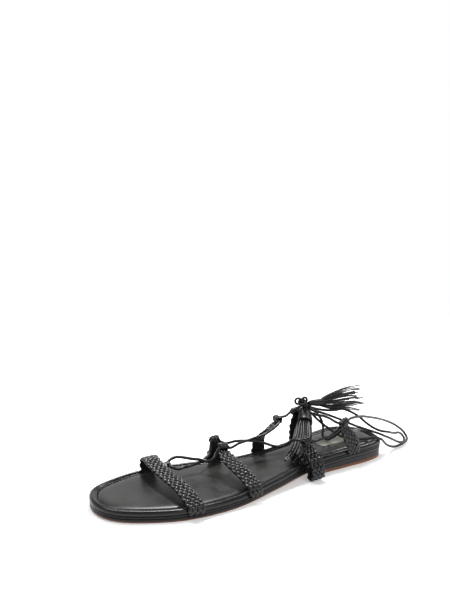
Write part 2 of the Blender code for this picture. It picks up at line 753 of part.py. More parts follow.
def lace_knot():
    """The knot: a ball of turns with two standing loops and the gathered strands under it."""
    centre = Vector(KNOT_CENTRE) / 1000
    bundle_end = Vector(BUNDLE_END) / 1000
    r = KNOT_RADIUS
    # Columns: place along the ball's axis, radius, as shares of the knot's radius
    ball = ((-1.0, 0.35), (-0.75, 0.72), (-0.3, 0.98), (0.2, 1.0), (0.65, 0.78), (1.0, 0.4))
    axis = (bundle_end - centre).normalized()
    tubes = [([centre + axis * r * a for a, _ in ball], [r * b for _, b in ball], 12)]
    run = (bundle_end - centre).length
    neck = [centre + axis * run * t for t in (0.12, 0.35, 0.6, 0.85, 1.0)]
    tubes.append((neck, [r * share for share in (0.6, 0.62, 0.68, 0.8, 0.82)], 10))
    item = joined_tubes("lace_knot", tubes)
    # Standing loops. Columns: centre offset in knot radii, heading of the loop's axis
    loops = (((-1.05, 0.62, 0.45), -118), ((0.30, -0.25, 0.85), -35))
    for k, (offset, heading) in enumerate(loops):
        middle = centre + Vector(offset) * r
        axis = Matrix.Rotation(math.radians(heading), 3, "Z") @ Vector((1, 0, 0))
        count = 14
        across = Vector((0, 0, 1))
        side = axis.cross(across)
        corners, faces = [], []
        for j in range(count):
            turn = 2 * math.pi * j / count
            spoke = across * math.cos(turn) + side * math.sin(turn)
            for m in range(6):
                lean = 2 * math.pi * m / 6
                bulge = spoke * math.cos(lean) + axis * math.sin(lean)
                corners.append(middle + spoke * KNOT_LOOP_RADIUS + bulge * KNOT_STRAND_RADIUS)
                nxt, after = (m + 1) % 6, (j + 1) % count
                faces.append((j * 6 + m, j * 6 + nxt, after * 6 + nxt, after * 6 + m))
        loop = add_object(f"knot_loop_{k}", mesh_of(f"knot_loop_{k}", corners, faces), BLACK, 0.35, 60)
        boolean(item, loop, "UNION")
    return item


def tassel(name, route, spread):
    """A leather tassel: a smooth cap on a gathered bundle that parts into single strands."""
    spread_up, spread_side = spread
    line = smooth_rows(np.array(route) / 1000, 0.001)
    run = len(line) - 1

    def at(share):
        return Vector(line[min(int(round(share * run)), run)])

    # Columns: share of the tassel's length, radius as a share of the cap's
    cap = ((0.0, 0.5), (0.07, 0.74), (0.16, 0.92), (TASSEL_CAP_SHARE, 1.0), (TASSEL_CAP_SHARE + 0.01, 0.82),
           (0.34, 0.88), (0.48, 0.80), (0.58, 0.5))
    core = ([at(share) for share, _ in cap], [TASSEL_CAP_RADIUS * radius for _, radius in cap], 12)
    tubes = [core]
    for k in range(TASSEL_STRANDS):
        turn = 2 * math.pi * (k + 0.35) / TASSEL_STRANDS
        ring = 1.0 if k % 2 == 0 else 0.62
        reach = 1.0 - 0.035 * (k * 5 % 4)
        centres, radii = [], []
        for step in range(6):
            share = TASSEL_CAP_SHARE + 0.06 + (reach - TASSEL_CAP_SHARE - 0.06) * step / 5
            here, ahead = at(share), at(min(share + 0.05, 1.0))
            behind = at(share - 0.05)
            direction = (ahead - behind).normalized()
            side = direction.cross(Vector((0, 0, 1))).normalized()
            up = side.cross(direction)
            opening = (share - TASSEL_CAP_SHARE) / (1 - TASSEL_CAP_SHARE)
            start = TASSEL_CAP_RADIUS * 0.62 * ring
            fan = math.sqrt(opening)
            out_side = start + (spread_side * ring - start) * fan
            out_up = start + (spread_up * ring - start) * fan
            centres.append(here + side * math.cos(turn) * out_side + up * math.sin(turn) * out_up)
            radii.append(TASSEL_STRAND_RADIUS * (1 - 0.2 * opening))
        tubes.append((centres, radii, 5))
    return joined_tubes(name, tubes)


def main():
    clear_scene()
    make_sole()
    make_heel()
    make_rim()
    make_straps()
    crossing("lace_crossing_front", CROSSING_FRONT)
    crossing("lace_crossing_rear", CROSSING_REAR)
    for name, route in LACES.items():
        add_cord(name, route)
    lace_knot()
    tassel("tassel_hanging", TASSEL_HANGING, HANGING_SPREAD)
    tassel("tassel_lying", TASSEL_LYING, LYING_SPREAD)


main()
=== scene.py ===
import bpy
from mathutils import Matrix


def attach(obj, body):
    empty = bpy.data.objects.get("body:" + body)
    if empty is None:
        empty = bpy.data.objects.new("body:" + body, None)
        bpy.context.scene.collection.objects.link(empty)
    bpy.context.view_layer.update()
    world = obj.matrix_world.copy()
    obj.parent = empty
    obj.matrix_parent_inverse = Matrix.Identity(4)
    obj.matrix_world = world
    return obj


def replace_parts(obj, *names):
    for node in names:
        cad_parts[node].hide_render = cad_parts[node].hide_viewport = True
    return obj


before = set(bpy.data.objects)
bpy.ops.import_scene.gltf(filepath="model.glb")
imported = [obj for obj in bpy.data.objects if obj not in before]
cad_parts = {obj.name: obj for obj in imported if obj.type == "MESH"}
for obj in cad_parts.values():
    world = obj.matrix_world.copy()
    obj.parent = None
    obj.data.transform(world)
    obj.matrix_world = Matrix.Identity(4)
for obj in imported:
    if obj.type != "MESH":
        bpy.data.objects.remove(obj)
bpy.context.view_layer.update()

import math
import random

import bmesh
import bpy
import numpy as np
from mathutils import Matrix, Vector

UP = Vector((0, 0, 1))

# Sizes of the solids, in metres
SHOE_LENGTH, HEEL_LENGTH = 0.250, 0.075
BALL_WIDTH, WAIST_WIDTH, HEEL_WIDTH = 0.078, 0.0445, 0.052
HEEL_LIFT, TOE_SPRING = 0.007, 0.0012
OUTSOLE_THICKNESS, MIDSOLE_THICKNESS, GAP = 0.0027, 0.0014, 0.0003
RIM_WIDTH, RIM_HEIGHT, INSOLE_HEIGHT = 0.0055, 0.0033, 0.0029
STRAP_WIDTH, STRAP_THICKNESS = 0.0130, 0.0020
TAIL_THICKNESS, TAIL_LENGTH, TIP_WIDTH = 0.0011, 0.0042, 0.0080
TOE_STRAP_RISE = 0.0102
EYE_INNER, EYE_WALL = 0.0022, 0.0011

# A little thicker than the lace's solid, which looked too thin
LACE_DIAMETER = 0.0022
LACE_STEP, LACE_SMOOTHING = 0.0009, 4

# The braid: its cells, its width against the strap's, and the flat strands that cross in it
CELLS_ACROSS, CELL_LENGTH, STEPS_A_CELL, BRAID_SPREAD = 4, 0.0054, 9, 1.08
STRAND_SWING, STRAND_THICKNESS, STRAND_FILL, STRAND_LIFT = 0.00062, 0.00105, 0.84, 0.00030
STRAND_PROFILE = (
    (-1.0, -0.3), (-0.97, 0.1), (-0.82, 0.55), (-0.5, 0.88), (0.0, 1.0), (0.5, 0.88), (0.82, 0.55),
    (0.97, 0.1), (1.0, -0.3), (0.6, -0.8), (-0.6, -0.8),
)

# The outline: width, and its share on the medial and on the lateral side, at equal steps of angle
TOE_TIP_SHARE, EDGE_STEP = 0.109, 18
EDGE_ROWS = (
    (BALL_WIDTH, 0.356, -0.123), (BALL_WIDTH, 0.492, -0.294), (BALL_WIDTH, 0.554, -0.446),
    (BALL_WIDTH, 0.486, -0.482), (WAIST_WIDTH, 0.526, -0.715), (WAIST_WIDTH, 0.436, -0.564),
    (HEEL_WIDTH, 0.458, -0.481), (HEEL_WIDTH, 0.512, -0.485), (HEEL_WIDTH, 0.350, -0.375),
)
LIFT_START, LIFT_END, SPRING_END = 0.31, 0.85, 0.14

# Seat name: distance from the toe, side
SEATS = {
    "toe_lateral": (0.0555, -1), "toe_medial": (0.0580, 1), "instep_lateral": (0.1030, -1),
    "instep_medial": (0.1085, 1), "arch_lateral": (0.1625, -1), "arch_medial": (0.1455, 1),
    "heel_lateral": (0.2060, -1), "heel_medial": (0.1850, 1),
}


# Camera

def make_camera():
    data = bpy.data.cameras.new("photo_camera")
    data.lens = 35.43
    data.sensor_width = 36
    data.sensor_fit = "AUTO"
    camera = bpy.data.objects.new("photo_camera", data)
    camera.location = (-0.3376, -0.3598, 0.1891)
    camera.rotation_euler = Vector((0.5276, 0.8416, -0.1154)).to_track_quat("-Z", "Y").to_euler()
    bpy.context.collection.objects.link(camera)
    bpy.context.scene.camera = camera


# The sole's outline and heights

def along(from_toe):
    """X of a distance from the toe."""
    return from_toe - SHOE_LENGTH + HEEL_LENGTH / 2


EDGE_VALUES = (
    [TOE_TIP_SHARE * BALL_WIDTH] + [w * m for w, m, _ in EDGE_ROWS] + [0.0]
    + [w * s for w, _, s in EDGE_ROWS][::-1]
)


def edge_plan(degrees):
    """Point of the outline at an angle, from 0 at the toe over the medial side to 180 at the heel."""
    place = (degrees % 360) / EDGE_STEP
    first = int(place)
    t = place - first
    a, b, c, d = (EDGE_VALUES[(first + k) % len(EDGE_VALUES)] for k in (-1, 0, 1, 2))
    side = 0.5 * (
        2 * b + (c - a) * t + (2 * a - 5 * b + 4 * c - d) * t ** 2 + (3 * b - a - 3 * c + d) * t ** 3)
    return Vector((along(SHOE_LENGTH * (1 - math.cos(math.radians(degrees))) / 2), side, 0))


def edge_frame(degrees):
    """Point of the outline, its outward direction and its direction of travel."""
    travel = (edge_plan(degrees + 1) - edge_plan(degrees - 1)).normalized()
    return edge_plan(degrees), Vector((-travel.y, travel.x, 0)), travel


def angle_at(from_toe, side):
    """Angle on the outline at a distance from the toe, on the medial side, 1, or the lateral side, -1."""
    degrees = math.degrees(math.acos(1 - 2 * from_toe / SHOE_LENGTH))
    return degrees if side > 0 else 360 - degrees


def ease(value):
    value = min(max(value, 0.0), 1.0)
    return value * value * (3 - 2 * value)


def lift(x):
    """Height of the outsole's underside: the waist rises to the heel, and the toe springs up a little."""
    share = (x - along(0)) / SHOE_LENGTH
    rise = HEEL_LIFT * ease((share - LIFT_START) / (LIFT_END - LIFT_START))
    return rise + TOE_SPRING * max(1 - share / SPRING_END, 0.0) ** 2


def midsole_top(x):
    return lift(x) + OUTSOLE_THICKNESS + GAP + MIDSOLE_THICKNESS


def rim_top(x):
    return midsole_top(x) + GAP + RIM_HEIGHT


# Materials

def new_node(tree, kind, values=None, **settings):
    """A new node with its settings, and the values of its inputs."""
    node = tree.nodes.new(kind)
    for key, value in settings.items():
        setattr(node, key, value)
    for key, value in (values or {}).items():
        node.inputs[key].default_value = value
    return node


def ranged(tree, source, before, after, kind="LINEAR"):
    """A socket's value carried from one span to another, and held at both ends."""
    node = new_node(tree, "ShaderNodeMapRange", {
        "From Min": before[0], "From Max": before[1], "To Min": after[0], "To Max": after[1],
    }, interpolation_type=kind)
    tree.links.new(source, node.inputs["Value"])
    return node.outputs["Result"]


def maths(tree, operation, *terms):
    """The result of two terms, each a number or a node socket."""
    node = new_node(tree, "ShaderNodeMath", operation=operation)
    for socket, term in zip(node.inputs, terms):
        if isinstance(term, float):
            socket.default_value = term
        else:
            tree.links.new(term, socket)
    return node.outputs["Value"]


def over_sole(tree, split):
    """Height above the outsole's underside, as a node socket."""
    lifted = (along(LIFT_START * SHOE_LENGTH), along(LIFT_END * SHOE_LENGTH))
    rise = ranged(tree, split.outputs["X"], lifted, (0.0, HEEL_LIFT), "SMOOTHSTEP")
    tip = ranged(tree, split.outputs["X"], (along(0), along(SPRING_END * SHOE_LENGTH)), (1.0, 0.0))
    spring = maths(tree, "MULTIPLY", maths(tree, "POWER", tip, 2.0), TOE_SPRING)
    return maths(tree, "SUBTRACT", maths(tree, "SUBTRACT", split.outputs["Z"], rise), spring)


def wrapped(tree, place, base, edge):
    """The base colour, and black leather beyond each place that edge lists."""
    black, blur = (0.0065, 0.0062, 0.0065, 1), 0.0002
    split = new_node(tree, "ShaderNodeSeparateXYZ")
    tree.links.new(place, split.inputs["Vector"])
    factor = None
    for kind, value in edge:
        source = over_sole(tree, split) if kind == "sole" else split.outputs[kind]
        band = ranged(tree, source, (value - blur, value + blur), (0.0, 1.0))
        factor = band if factor is None else maths(tree, "MAXIMUM", factor, band)
    mix = new_node(tree, "ShaderNodeMix", {"B": black}, data_type="RGBA")
    tree.links.new(factor, mix.inputs["Factor"])
    tree.links.new(base, mix.inputs["A"])
    return mix.outputs["Result"]


def leather(name, colour, roughness, grain, depth, gloss=0.35, worn=0.25, streak=0.0, edge=()):
    """Leather: pebbled grain, creases, and patches a little paler and rougher than the rest.

    grain is the scale of the pebbles and depth their height in metres. worn makes the patches paler, and
    streak presses the pattern flat, for a cut edge. edge lists where black leather covers the piece:
    beyond a value of X, of Z or of "sole", which is the height above the outsole's underside.
    """
    material = bpy.data.materials.new(name)
    material.use_nodes = True
    tree = material.node_tree
    link = tree.links.new
    shader = tree.nodes["Principled BSDF"]
    shader.inputs["Specular IOR Level"].default_value = gloss
    place = new_node(tree, "ShaderNodeTexCoord")
    stretch = new_node(tree, "ShaderNodeMapping", {"Scale": (1, 1, 1 + streak)})
    patches = new_node(tree, "ShaderNodeTexNoise", {"Scale": 55, "Detail": 5})
    cells = new_node(tree, "ShaderNodeTexVoronoi", {"Scale": grain})
    creases = new_node(tree, "ShaderNodeTexNoise", {"Scale": grain * 0.22, "Detail": 6})
    link(place.outputs["Object"], stretch.inputs["Vector"])
    for texture in (patches, cells, creases):
        link(stretch.outputs["Vector"], texture.inputs["Vector"])
    # Colour and roughness follow the patches
    paler = [min(c * (1 + 2.2 * worn) + 0.004 * worn, 1) for c in colour]
    mix = new_node(tree, "ShaderNodeMix", {"A": (*colour, 1), "B": (*paler, 1)}, data_type="RGBA")
    link(patches.outputs["Fac"], mix.inputs["Factor"])
    shown = mix.outputs["Result"]
    if edge:
        shown = wrapped(tree, place.outputs["Object"], shown, edge)
    link(shown, shader.inputs["Base Color"])
    rough = ranged(tree, patches.outputs["Fac"], (0.3, 0.7), (roughness - 0.05, roughness + 0.09))
    link(rough, shader.inputs["Roughness"])
    # Pebbles, then creases over them
    pebbled = new_node(tree, "ShaderNodeBump", {"Strength": 0.5, "Distance": depth})
    creased = new_node(tree, "ShaderNodeBump", {"Strength": 0.6, "Distance": depth * 1.6})
    link(cells.outputs["Distance"], pebbled.inputs["Height"])
    link(creases.outputs["Fac"], creased.inputs["Height"])
    link(pebbled.outputs["Normal"], creased.inputs["Normal"])
    link(creased.outputs["Normal"], shader.inputs["Normal"])
    return material


def plain(name, colour, roughness):
    material = bpy.data.materials.new(name)
    material.use_nodes = True
    shader = material.node_tree.nodes["Principled BSDF"]
    shader.inputs["Base Color"].default_value = (*colour, 1)
    shader.inputs["Roughness"].default_value = roughness
    return material


# Colour, roughness, grain and its depth
MATERIALS = {
    "braid": leather("braid_leather", (0.0038, 0.0038, 0.0040), 0.27, 1900, 0.00003, gloss=0.36),
    "lining": leather(
        "lining_leather", (0.0060, 0.0056, 0.0056), 0.55, 1300, 0.00005, gloss=0.2, worn=0.15),
    "rim": leather("rim_leather", (0.0055, 0.0055, 0.0058), 0.23, 1500, 0.00003, gloss=0.31),
    # The footbed is black leather. Its base colour is partly painted sheen: lifted paler than the other
    # blacks to stand in for the light it reflects
    "insole": leather(
        "insole_painted_sheen_leather", (0.0145, 0.0143, 0.0137), 0.27, 1300, 0.000012, gloss=0.30, worn=0.35),
    # The patch's pale grey-gold colour is painted sheen: the dark label's catch of light painted into its
    # base colour
    "patch": leather("patch_painted_sheen_leather", (0.155, 0.152, 0.128), 0.50, 700, 0.00009, gloss=0.45, worn=0.5),
    "midsole": leather("midsole_leather", (0.0050, 0.0048, 0.0050), 0.36, 1500, 0.00003, gloss=0.25),
    "outsole": leather(
        "outsole_leather", (0.095, 0.037, 0.018), 0.42, 900, 0.00006, worn=0.2, streak=9,
        edge=(("X", -0.036), ("sole", 0.0011))),
    "heel": leather(
        "heel_leather", (0.130, 0.047, 0.020), 0.42, 900, 0.00006, worn=0.2, streak=9,
        edge=(("Z", 0.0026),)),
    "lace": leather("lace_leather", (0.0055, 0.0055, 0.0058), 0.30, 2200, 0.00003, gloss=0.33),
    "tassel": leather("tassel_leather", (0.0058, 0.0057, 0.0058), 0.37, 1800, 0.00002, gloss=0.29),
    "thread": leather("thread", (0.0070, 0.0070, 0.0072), 0.55, 2600, 0.00004, gloss=0.25),
}


# Meshes

def piece(name, corners, faces, material, smooth):
    """A mesh that rides on the shoe, with a node's material slot. Edges over smooth degrees stay sharp."""
    mesh = bpy.data.meshes.new(name)
    mesh.from_pydata([tuple(c) for c in corners], [], faces)
    mesh.validate()
    work = bmesh.new()
    work.from_mesh(mesh)
    bmesh.ops.recalc_face_normals(work, faces=work.faces)
    work.to_mesh(mesh)
    work.free()
    mesh.shade_smooth()
    mesh.set_sharp_from_angle(angle=math.radians(smooth))
    item = bpy.data.objects.new(name, mesh)
    item.data.materials.append(MATERIALS[material])
    bpy.context.collection.objects.link(item)
    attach(item, "root")
    return item


class Build:
    """Corners and faces gathered for one piece."""

    def __init__(self):
        self.corners, self.faces = [], []

    def sweep(self, points, sides, ups, profile, closed=False):
        """A profile of (across, up) pairs swept along points. profile may be a function of the index."""
        base, total = len(self.corners), len(points)
        for k in range(total):
            rows = profile(k) if callable(profile) else profile
            for a, b in rows:
                self.corners.append(points[k] + sides[k] * a + ups[k] * b)
        count = (len(self.corners) - base) // total
        for k in range(total if closed else total - 1):
            after = (k + 1) % total
            for j in range(count):
                nxt = (j + 1) % count
                self.faces.append((
                    base + k * count + j, base + k * count + nxt,
                    base + after * count + nxt, base + after * count + j))
        if not closed:
            self.faces.append(tuple(base + j for j in range(count))[::-1])
            last = base + (total - 1) * count
            self.faces.append(tuple(last + j for j in range(count)))

    def tube(self, points, radii, count):
        sides, ups = carried_frames(points)
        ring = circle(count)
        self.sweep(points, sides, ups, lambda k: [(radii[k] * a, radii[k] * b) for a, b in ring])

    def make(self, name, material, smooth):
        return piece(name, self.corners, self.faces, material, smooth)


def circle(count):
    """Points of a unit circle, each once."""
    return [(math.cos(2 * math.pi * k / count), math.sin(2 * math.pi * k / count)) for k in range(count)]


def carried_frames(points, start=None):
    """Side and up directions carried along a line without twist."""
    sides, ups, side = [], [], start
    for k in range(len(points)):
        direction = (points[min(k + 1, len(points) - 1)] - points[max(k - 1, 0)]).normalized()
        if side is None:
            side = direction.orthogonal()
        side = (side - direction * side.dot(direction)).normalized()
        sides.append(side)
        ups.append(side.cross(direction).normalized())
    return sides, ups


def smooth_rows(rows, spacing, substeps=16):
    """Rows that start with X, Y, Z, resampled at equal steps of a smooth line through them."""
    rows = np.array(rows, float)
    chord = np.linalg.norm(np.diff(rows[:, :3], axis=0), axis=1)
    slope = np.diff(rows, axis=0) / chord[:, None]
    tangent = np.empty_like(rows)
    tangent[0], tangent[-1] = slope[0], slope[-1]
    weight = (chord[1:] / (chord[:-1] + chord[1:]))[:, None]
    tangent[1:-1] = slope[:-1] * weight + slope[1:] * (1 - weight)
    fine = []
    for k, length in enumerate(chord):
        for t in np.linspace(0, 1, substeps, endpoint=False):
            h1, h2 = 2 * t ** 3 - 3 * t ** 2 + 1, t ** 3 - 2 * t ** 2 + t
            h3, h4 = 3 * t ** 2 - 2 * t ** 3, t ** 3 - t ** 2
            bend = (h2 * tangent[k] + h4 * tangent[k + 1]) * length
            fine.append(h1 * rows[k] + h3 * rows[k + 1] + bend)
    fine.append(rows[-1])
    fine = np.array(fine)
    run = np.concatenate([[0], np.cumsum(np.linalg.norm(np.diff(fine[:, :3], axis=0), axis=1))])
    steps = max(int(round(run[-1] / spacing)), 2)
    places = np.linspace(0, run[-1], steps + 1)
    return np.column_stack([np.interp(places, run, column) for column in fine.T])


# Laces. Every route is a list of points in the row's frame, in millimetres.

ROUTES = {
    "lace_toe_to_instep_lateral": (
        (-150.3, 18.5, 17.9), (-149.8, 20.6, 18.2), (-147.0, 22.0, 19.4), (-142.3, 21.0, 21.1),
        (-136.1, 19.0, 19.9), (-129.7, 17.5, 18.0), (-124.5, 16.0, 17.0), (-120.6, 11.0, 16.4),
        (-118.2, 7.6, 18.0), (-116.0, 6.6, 22.0), (-113.0, 7.4, 25.8), (-109.5, 6.6, 26.6)),
    "lace_toe_to_instep_medial": (
        (-150.3, 18.3, 17.8), (-150.1, 15.6, 17.6), (-149.0, 13.0, 16.9), (-146.8, 11.7, 16.0),
        (-144.2, 12.3, 15.1), (-141.6, 14.2, 14.3), (-139.2, 16.2, 13.6), (-136.7, 17.5, 13.1),
        (-130.0, 17.0, 13.6), (-124.5, 16.0, 14.9), (-117.5, 20.0, 15.3), (-111.5, 24.0, 16.4),
        (-108.8, 26.6, 20.6), (-106.8, 28.2, 24.6), (-104.2, 28.4, 25.1)),
    "lace_instep_medial_to_arch": (
        (-103.5, 28.4, 25.1), (-100.0, 27.4, 23.4), (-97.0, 25.0, 21.6), (-90.8, 19.0, 24.0),
        (-83.0, 12.5, 24.9), (-77.8, 10.0, 24.3), (-72.4, 8.0, 22.8), (-63.6, 2.0, 19.7),
        (-60.0, -2.6, 20.4), (-59.6, -8.0, 24.4), (-59.2, -12.0, 27.6), (-57.8, -16.0, 29.7),
        (-55.8, -20.0, 29.8), (-52.6, -21.8, 29.6)),
    "lace_instep_lateral_to_knot": (
        (-108.5, 6.3, 26.8), (-105.0, 6.6, 25.4), (-101.6, 8.0, 24.2), (-94.1, 9.0, 25.8),
        (-84.3, 9.5, 26.4), (-77.0, 10.4, 26.8), (-70.5, 8.8, 28.2), (-64.6, 8.5, 30.3),
        (-58.0, 8.8, 33.2), (-54.0, 10.4, 34.7), (-51.4, 14.0, 35.6), (-49.4, 17.6, 36.2),
        (-46.4, 17.2, 36.6), (-43.9, 16.4, 36.8), (-38.8, 16.5, 38.6), (-34.5, 17.0, 41.0),
        (-28.2, 15.6, 42.9), (-25.6, 15.4, 44.4)),
    "lace_arch_to_heel": (
        (-52.4, -21.8, 29.6), (-48.0, -20.4, 29.4), (-45.0, -17.6, 27.8), (-42.6, -15.5, 26.5),
        (-38.6, -14.0, 24.0), (-29.7, -13.5, 24.0), (-21.5, -15.0, 25.5), (-18.4, -18.0, 29.0),
        (-19.0, -22.4, 33.6), (-19.6, -26.2, 37.6), (-17.8, -26.8, 39.0)),
    "lace_loop_outer": (
        (-17.4, -26.8, 39.1), (-13.0, -26.0, 40.4), (-8.8, -24.5, 40.3), (5.7, -20.0, 38.3),
        (26.2, -13.0, 32.2), (42.5, -8.0, 26.5), (57.1, -4.0, 20.6), (70.0, -3.0, 13.8),
        (77.5, -5.0, 7.2), (76.5, -9.5, 3.4), (69.1, -13.0, 1.9), (61.0, -14.5, 1.4), (52.9, -16.0, 2.0),
        (42.6, -18.0, 5.8), (35.2, -20.5, 10.6), (30.0, -22.0, 15.0), (25.1, -21.0, 16.8),
        (20.4, -18.1, 16.5), (12.9, -14.0, 16.0), (6.3, -9.1, 16.2), (1.2, -5.0, 17.5), (-6.0, 1.0, 22.9),
        (-10.8, 8.5, 28.2), (-12.0, 17.0, 32.4), (-13.3, 21.3, 35.4), (-15.6, 20.6, 38.4)),
    "lace_loop_inner": (
        (-16.0, 19.3, 39.2), (-12.0, 18.9, 38.8), (-8.8, 17.2, 37.6), (-2.1, 14.5, 36.0),
        (6.2, 11.0, 35.3), (14.8, 9.0, 35.6), (20.2, 6.0, 33.3), (28.0, 3.0, 28.3), (33.1, -2.0, 22.5),
        (35.7, -9.0, 19.4), (37.6, -13.5, 18.4), (45.4, -15.0, 16.4), (54.0, -12.6, 13.2),
        (59.5, -10.9, 11.6), (64.8, -9.6, 10.8), (69.2, -10.1, 8.0), (69.3, -12.6, 5.1),
        (65.8, -14.9, 3.8), (60.0, -16.0, 4.6), (54.7, -16.3, 6.8), (45.8, -17.5, 11.4),
        (38.2, -17.0, 15.0), (33.9, -15.5, 17.2), (30.4, -12.0, 18.6), (23.1, -6.0, 21.4),
        (15.3, 0.0, 24.8), (10.3, 4.0, 27.5), (3.6, 8.0, 30.6), (-3.2, 12.0, 33.6), (-10.2, 15.6, 36.0),
        (-14.0, 17.5, 37.5), (-17.0, 18.4, 39.0)),
    "lace_return": (
        (-16.6, -25.8, 37.4), (-15.0, -22.6, 36.0), (-14.0, -19.0, 35.2), (-13.7, -13.0, 35.0),
        (-11.6, -3.0, 35.0), (-10.8, 6.0, 34.6), (-12.4, 15.0, 33.8), (-14.8, 19.0, 35.4),
        (-16.8, 19.4, 38.2)),
    "lace_slack": (
        (-16.0, 20.0, 39.4), (-13.2, 21.0, 38.6), (-11.2, 21.0, 37.0), (-8.6, 18.8, 34.6),
        (-7.2, 13.0, 30.0), (-9.4, 7.0, 24.1), (-13.3, 2.5, 18.0), (-12.2, -1.5, 16.4),
        (-12.4, -6.0, 19.0), (-11.2, -13.0, 25.0), (-11.3, -19.0, 31.4), (-14.4, -24.2, 36.4)),
}
CORD_SOLIDS = {
    "lace_toe_to_instep_lateral": ("lace_crossing_front",),
    "lace_toe_to_instep_medial": ("lace_crossing_front",),
    "lace_instep_medial_to_arch": ("lace_crossing_rear",),
    "lace_instep_lateral_to_knot": ("lace_crossing_rear", "lace_arch_to_knot"),
    "lace_arch_to_heel": ("lace_arch_to_heel",),
    "lace_loop_outer": ("lace_loop_outer",),
    "lace_loop_inner": ("lace_loop_inner",),
    "lace_return": ("lace_return",),
    "lace_slack": ("lace_slack",),
}
KNOT_CENTRE, BUNDLE_END = Vector((-24.8, 15.6, 45.6)) / 1000, Vector((-15.1, 19.5, 38.2)) / 1000


def make_laces():
    for name, route in ROUTES.items():
        points = smooth_rows(np.array(route) / 1000, LACE_STEP)
        for _ in range(LACE_SMOOTHING):
            points[1:-1] = points[1:-1] * 0.5 + (points[:-2] + points[2:]) * 0.25
        curve = bpy.data.curves.new(name + "_line", "CURVE")
        curve.dimensions = "3D"
        curve.bevel_depth = LACE_DIAMETER / 2
        curve.bevel_resolution = 3
        curve.use_fill_caps = True
        spline = curve.splines.new("POLY")
        spline.points.add(len(points) - 1)
        for target, point in zip(spline.points, points):
            target.co = (*point, 1)
        lace = bpy.data.objects.new(name + "_line", curve)
        curve.materials.append(MATERIALS["lace"])
        bpy.context.collection.objects.link(lace)
        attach(lace, "root")
        solids = CORD_SOLIDS[name]
        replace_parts(lace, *solids)


# Straps

def seat_frame(seat):
    """Where a strap enters the sole, the way out from the shoe, and the strap's width direction."""
    from_toe, side = SEATS[seat]
    point, outward, travel = edge_frame(angle_at(from_toe, side))
    point.z = midsole_top(point.x)
    rearward = travel * side
    half = STRAP_WIDTH / 2
    rearward.z = (midsole_top(point.x + half) - midsole_top(point.x - half)) / STRAP_WIDTH
    return point, outward, rearward.normalized()


def strap_root(seat):
    """How far outside the outline a strap's middle stands, clear of the sole along its whole width."""
    from_toe, side = SEATS[seat]
    centre = angle_at(from_toe, side)
    point, outward, travel = edge_frame(centre)
    bulge = 0.0
    for degrees in range(-15, 16):
        offset = edge_plan(centre + degrees) - point
        if abs(offset.dot(travel)) <= STRAP_WIDTH * 0.55:
            bulge = max(bulge, offset.dot(outward))
    return bulge + 1.5 * GAP + STRAP_THICKNESS / 2


def tail_rows(seat):
    """The strap's thin end between midsole and rim."""
    point, outward, rearward = seat_frame(seat)
    half, out = TAIL_THICKNESS / 2, strap_root(seat)
    placed = []
    for a, b in (
        (-TAIL_LENGTH, GAP + half), (-TAIL_LENGTH * 0.3, GAP + half), (out * 0.85, GAP + half * 1.15),
    ):
        centre = point + outward * a + UP * b
        placed.append((*centre, *rearward, STRAP_WIDTH))
    return placed


def turned(direction, degrees, tilt):
    """A width direction turned about the upright and tilted up, in degrees."""
    level = Matrix.Rotation(math.radians(degrees), 3, "Z") @ Vector(direction)
    return level.normalized() + UP * math.tan(math.radians(tilt))


def half_strap_rows(seat, length, rows):
    """Rows of centre, width direction and width, from the seat to the tip."""
    point, outward, rearward = seat_frame(seat)
    point = point + outward * strap_root(seat)
    side = SEATS[seat][1]
    table = tail_rows(seat)
    for k, (inward, up, back, turn, tilt) in enumerate(rows):
        centre = point + Vector((back * length, -side * inward * length, up * length))
        across = turned(rearward.lerp(Vector((1, 0, 0)), ease((k - 1) / 2)), turn, tilt)
        width = STRAP_WIDTH + (TIP_WIDTH - STRAP_WIDTH) * ease((k - len(rows) + 3) / 2)
        table.append((*centre, *across, width))
    if side > 0:
        table = [(*row[:3], -row[3], -row[4], -row[5], *row[6:]) for row in table]
    return table


def toe_strap_rows():
    """Rows of centre, width direction and width, from the lateral to the medial seat."""
    start, _, _ = seat_frame("toe_lateral")
    end, _, _ = seat_frame("toe_medial")
    # Share of the way across, rise, and shift towards the heel in strap widths
    rows = (
        (-0.024, 0.10, 0.0), (0.015, 0.22, 0.0), (0.09, 0.44, -0.02), (0.26, 0.68, -0.06),
        (0.515, 0.86, -0.2), (0.77, 1.0, -0.24), (0.90, 1.02, -0.16), (0.99, 0.80, -0.05),
        (1.045, 0.42, 0.0), (1.04, 0.0, 0.0),
    )
    table = tail_rows("toe_lateral")
    for across, rise, shift in rows:
        centre = start.lerp(end, across)
        centre.x += shift * STRAP_WIDTH
        centre.z = rim_top(centre.x) + rise * TOE_STRAP_RISE
        table.append((*centre, 1, 0, 0, STRAP_WIDTH))
    return table + tail_rows("toe_medial")[::-1]


